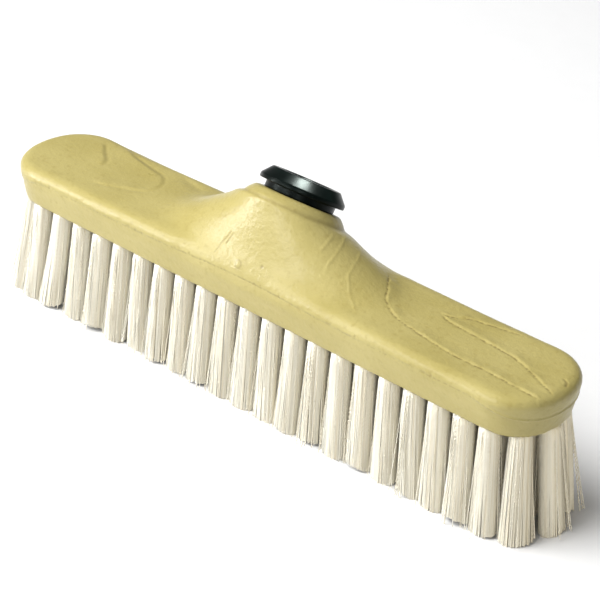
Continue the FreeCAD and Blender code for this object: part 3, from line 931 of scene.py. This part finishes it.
def bush_piece(group):
    """The handle bush, turned about the bore's axis, with a coarse thread in the bore."""
    lip_foot = SEAT_DEPTH + WAIST_HEIGHT
    lip_top = lip_foot + LIP_HEIGHT
    thread_top = BORE_LENGTH - THREAD_DEPTH
    outside = rounded_profile((
        (BORE_RADIUS, 0), (SHANK_RADIUS, 0), (SHANK_RADIUS, SEAT_DEPTH), (WAIST_RADIUS, SEAT_DEPTH),
        (WAIST_RADIUS, lip_foot), (LIP_RADIUS, lip_foot), (LIP_RADIUS, lip_top),
        (NOSE_RADIUS, lip_top + NOSE_HEIGHT), (BORE_RADIUS + THREAD_DEPTH, BORE_LENGTH),
        (BORE_RADIUS, thread_top)))
    heights = np.arange(thread_top, 0, -THREAD_PITCH / THREAD_STEPS)[1:]
    inside = [(BORE_RADIUS, height) for height in heights]
    turns = np.arange(TURN_STEPS) / TURN_STEPS
    across = np.array((1.0, 0, 0))
    rise = np.cross(BORE_AXIS, across)
    spokes = np.outer(np.cos(2 * math.pi * turns), across) + np.outer(np.sin(2 * math.pi * turns), rise)
    rows = []
    for index, (radius, height) in enumerate([*outside, *inside]):
        reach = np.full(TURN_STEPS, radius)
        if index >= len(outside):
            phase = (height / THREAD_PITCH - turns) % 1
            fade = ramp(height, 0, THREAD_PITCH)
            fade *= 1 - ramp(height, BORE_LENGTH - THREAD_PITCH, BORE_LENGTH)
            reach += THREAD_DEPTH * fade * ramp(np.abs(2 * phase - 1), *THREAD_FLANK_SHARES)
        rows.append(BUSH_FOOT + BORE_AXIS * height + spokes * reach[:, None])
    grid = np.arange(len(rows) * TURN_STEPS).reshape(len(rows), TURN_STEPS)
    below = np.roll(grid, -1, 0)
    faces = np.stack([grid, np.roll(grid, -1, 1), np.roll(below, -1, 1), below], -1).reshape(-1, 4)
    piece = link("bush_black", mesh_from("bush_black", np.concatenate(rows), faces), bush_material())
    dress(piece, "bush", "handle_bush")
    group.objects.link(piece)


# Bristles

def tuft_ends(node):
    """Root and tip of each tuft of a node: middle and radius of its upper and of its lower outline."""
    whole = welded(frame["nodes"][node].data)
    left = set(whole.verts)
    tufts = []
    while left:
        island = [left.pop()]
        for vertex in island:
            for edge in vertex.link_edges:
                other = edge.other_vert(vertex)
                if other in left:
                    left.remove(other)
                    island.append(other)
        corners = np.array([vertex.co for vertex in island])
        ends = []
        for ring in (corners[corners[:, 2] > UNDERSIDE], corners[corners[:, 2] < UNDERSIDE]):
            middle = ring.mean(0)
            ends.append((middle, np.linalg.norm(ring - middle, axis=1).mean()))
        tufts.append(ends)
    whole.free()
    return sorted(tufts, key=lambda ends: tuple(ends[0][0].round(PLACE_DIGITS)))


def mouth_of(ends):
    """Where a tuft's middle line leaves the block's underside."""
    (root, _), (tip, _) = ends
    return root + (tip - root) * (root[2] - UNDERSIDE) / (root[2] - tip[2])


def flare(level, tip_radius):
    """Radius of a tuft, which springs open at its mouth, at a share of the way down to the tips."""
    opened = (OPEN_RADIUS - MOUTH_RADIUS) * (1 - np.exp(-level / OPEN_SHARE))
    return MOUTH_RADIUS + opened + (tip_radius - OPEN_RADIUS) * level - FILAMENT_RADIUS


def around(turn):
    """Level unit vectors at turns in radians."""
    return np.stack([np.cos(turn), np.sin(turn), np.zeros_like(turn)], -1)


def flattened(spread, ends, level):
    """Spread of a tuft's filaments, pressed together in the direction that it faces, most at the tips."""
    lean = ends[1][0] - mouth_of(ends)
    facing = np.array((0, 1.0, 0))
    if abs(mouth_of(ends)[0]) > STRAIGHT_HALF:
        facing = lean * (1, 1, 0) / np.hypot(lean[0], lean[1])
    return spread - TIP_FLATNESS_SHARE * level * (spread @ facing)[..., None] * facing


def packed_filaments(ends, tip_radius, chance):
    """Middle lines of a tuft's close filaments, from the anchor to the tips, and the way each faces out."""
    (root, root_radius), (tip, _) = ends
    count = CORE_FILAMENTS + RING_FILAMENTS
    core_reach = np.sqrt(chance.random(CORE_FILAMENTS)) * CORE_REACH_SHARE
    ring_reach = chance.normal(RING_REACH_SHARE, RING_SCATTER_SHARE, RING_FILAMENTS)
    turn = np.concatenate([chance.random(CORE_FILAMENTS), np.arange(RING_FILAMENTS) / RING_FILAMENTS])
    outward = around(2 * math.pi * turn + chance.normal(0, TURN_SCATTER, count))
    spread = np.concatenate([core_reach, ring_reach])[:, None] * outward
    sway = np.append(chance.normal(0, TUFT_SWAY, 2), 0)
    bend = np.zeros((count, 3))
    bend[:, :2] = chance.normal(0, BEND, (count, 2))
    slant = spread @ around(chance.random() * 2 * math.pi) * TIP_SLANT + abs(chance.normal(0, TUFT_SCATTER))
    short = np.maximum(slant + np.abs(chance.normal(0, TIP_SCATTER, count)), TIP_CLEARANCE)
    mouth = mouth_of(ends)
    paths = [root + spread * (root_radius - FILAMENT_RADIUS)]
    for level in np.linspace(0, 1, FILAMENT_LEVELS - 1) ** LEVEL_POWER:
        row = mouth + (tip - mouth) * level + (bend + sway) * level ** 2
        row += flattened(spread, ends, level) * flare(level, tip_radius)
        row[:, 2] += short * level
        paths.append(row)
    return np.stack(paths, 1), outward


def stray_filaments(ends, tip_radius, chance):
    """Middle lines of the crimped filaments that stand away from a tuft."""
    tip = ends[1][0]
    mouth = mouth_of(ends)
    level = np.linspace(0, 1, CRIMP_LEVELS)[:, None]
    outward = around(2 * math.pi * chance.random(STRAY_FILAMENTS))
    lean = outward * chance.random((STRAY_FILAMENTS, 1)) * STRAY_LEAN
    crimp = around(2 * math.pi * chance.random(STRAY_FILAMENTS)) * CRIMP_DEPTH
    phase = 2 * math.pi * chance.random((STRAY_FILAMENTS, 1, 1))
    length = np.linalg.norm(tip - mouth)
    wave = np.sin(2 * math.pi * level * length / CRIMP_PITCH + phase)
    wave = wave * np.minimum(level / CRIMP_START_SHARE, 1)
    short = np.zeros((STRAY_FILAMENTS, 1, 3))
    short[:, 0, 2] = TIP_CLEARANCE + np.abs(chance.normal(0, STRAY_SCATTER, STRAY_FILAMENTS))
    reach = flare(level, tip_radius) * STRAY_REACH_SHARE
    return (mouth + (tip - mouth) * level + outward[:, None] * reach
            + lean[:, None] * level ** STRAY_LEAN_POWER + crimp[:, None] * wave + short * level)


def tubes(paths, outward, share):
    """Closed thin tubes along upright paths: points, faces, and normals turned by a share to one way."""
    count, levels = paths.shape[:2]
    ring = around(2 * math.pi * np.arange(FILAMENT_SIDES) / FILAMENT_SIDES)
    points = (paths[:, :, None] + ring * FILAMENT_RADIUS).reshape(-1, 3)
    along = np.gradient(paths, axis=1)
    along /= np.linalg.norm(along, axis=2)[..., None]
    facing = (1 - share) * ring + share * outward[:, None, None]
    normals = facing - (facing * along[:, :, None]).sum(3, keepdims=True) * along[:, :, None]
    index = np.arange(count * levels * FILAMENT_SIDES).reshape(count, levels, FILAMENT_SIDES)
    upper, lower = index[:, :-1], index[:, 1:]
    sides = np.stack([upper, lower, np.roll(lower, -1, 2), np.roll(upper, -1, 2)], -1).reshape(-1, 4)
    caps = np.concatenate([index[:, 0], index[:, -1, ::-1]])
    return points, [*sides.tolist(), *caps.tolist()], normals.reshape(-1, 3)


def bristle_pieces(group):
    """Makes the bristles, and puts them in a group, so that a light can have them to itself."""
    material = bristle_material()
    chance = np.random.default_rng(BRISTLE_SEED)
    for node in TUFT_NODES:
        tip_radius = END_TIP_RADIUS if node.endswith("end") else TIP_RADIUS
        tufts = tuft_ends(node)
        packed = [packed_filaments(ends, tip_radius, chance) for ends in tufts]
        strays = np.concatenate([stray_filaments(ends, tip_radius, chance) for ends in tufts])
        paths, outward = (np.concatenate(column) for column in zip(*packed))
        close = tubes(paths, outward, HULL_SHARE)
        loose = tubes(strays, np.zeros((len(strays), 3)), 0)
        points = np.concatenate([close[0], loose[0]])
        faces = [*close[1], *([corner + len(close[0]) for corner in face] for face in loose[1])]
        name = node.replace("tufts", "bristles")
        mesh = mesh_from(name, points, faces)
        tint = np.concatenate([np.repeat(chance.random(len(paths)) ** 2, FILAMENT_LEVELS * FILAMENT_SIDES),
                               np.repeat(chance.random(len(strays)), CRIMP_LEVELS * FILAMENT_SIDES)])
        mesh.attributes.new("tint", "FLOAT", "POINT").data.foreach_set("value", tint)
        piece = link(name, mesh, material)
        dress(piece, "bristle", node)
        group.objects.link(piece)
        mesh.normals_split_custom_set_from_vertices(np.concatenate([close[2], loose[2]]))


def anchor_finish():
    material = wire_material()
    for node in ANCHOR_NODES:
        slots = frame["nodes"][node].data.materials
        slots.clear()
        slots.append(material)


# Stage

def direction(azimuth, elevation):
    """Unit vector towards an azimuth, turned from the front to the right, and an elevation, in degrees."""
    azimuth, elevation = math.radians(azimuth), math.radians(elevation)
    return Vector((math.sin(azimuth) * math.cos(elevation), -math.cos(azimuth) * math.cos(elevation),
                   math.sin(elevation)))


def area_light(receivers, name, azimuth, elevation, distance, size, power, colour, hidden_from):
    """A round light aimed at the block's middle, for all pieces or only for a group of receivers."""
    lamp = bpy.data.lights.new(name, "AREA")
    lamp.shape = "DISK"
    lamp.size = size
    lamp.energy = power
    lamp.color = colour
    light = bpy.data.objects.new(name, lamp)
    towards = direction(azimuth, elevation)
    light.location = Vector((0, 0, UNDERSIDE)) + towards * distance
    light.rotation_euler = towards.to_track_quat("Z", "Y").to_euler()
    light.light_linking.receiver_collection = receivers
    for visibility in hidden_from:
        setattr(light, visibility, False)
    bpy.context.scene.collection.objects.link(light)


def room_light():
    """Even white light from all round, brightest from the front left."""
    world = bpy.data.worlds.new("room")
    world.use_nodes = True
    tree = world.node_tree
    facing = add_node(tree, "ShaderNodeVectorMath", {
        "operation": "DOT_PRODUCT", 1: direction(*ROOM_BRIGHTEST)}, {
        0: tree.nodes.new("ShaderNodeTexCoord").outputs["Generated"]})
    background = tree.nodes["Background"]
    tree.links.new(map_range(tree, facing.outputs["Value"], (-1, 1), ROOM_STRENGTHS),
                   background.inputs["Strength"])
    background.inputs["Color"].default_value = (*WHITE, 1)
    bpy.context.scene.world = world


def stage(bush, bristles):
    """The floor and the lights, some of which light only the bush or only the bristles."""
    signs = ((-1, -1), (1, -1), (1, 1), (-1, 1))
    corners = [(across * FLOOR_HALF_SIDE, deep * FLOOR_HALF_SIDE, 0) for across, deep in signs]
    mesh = mesh_from("floor", corners, [range(len(corners))])
    link("floor", mesh, floor_material())
    room_light()
    for receivers, lights in ((None, ROOM_LIGHTS), (bush, BUSH_LIGHTS), (bristles, BRISTLE_LIGHTS)):
        for settings in lights:
            area_light(receivers, *settings)


def camera():
    back = direction(CAMERA_AZIMUTH, CAMERA_ELEVATION)
    level = direction(CAMERA_AZIMUTH + RIGHT_ANGLE, 0)
    upright = back.cross(level)
    right = level * math.cos(CAMERA_ROLL) + upright * math.sin(CAMERA_ROLL)
    up = upright * math.cos(CAMERA_ROLL) - level * math.sin(CAMERA_ROLL)
    away = (back - right * AIM_RIGHT_PX / FOCAL_PX + up * AIM_DOWN_PX / FOCAL_PX).normalized()
    right = up.cross(away).normalized()
    up = away.cross(right)
    data = bpy.data.cameras.new("camera")
    data.sensor_width = SENSOR
    data.lens = FOCAL_PX / PHOTO_WIDTH_PX * SENSOR
    view = bpy.data.objects.new("camera", data)
    view.matrix_world = Matrix.Translation(Vector((0, 0, UNDERSIDE)) + back * CAMERA_DISTANCE) @ Matrix(
        (right, up, away)).transposed().to_4x4()
    bpy.context.scene.collection.objects.link(view)
    bpy.context.scene.camera = view


bush_group = bpy.data.collections.new("bush")
bristle_group = bpy.data.collections.new("bristles")
camera()
stage(bush_group, bristle_group)
moulded_block()
bush_piece(bush_group)
bristle_pieces(bristle_group)
anchor_finish()
bpy.context.scene.view_settings.view_transform = "Standard"
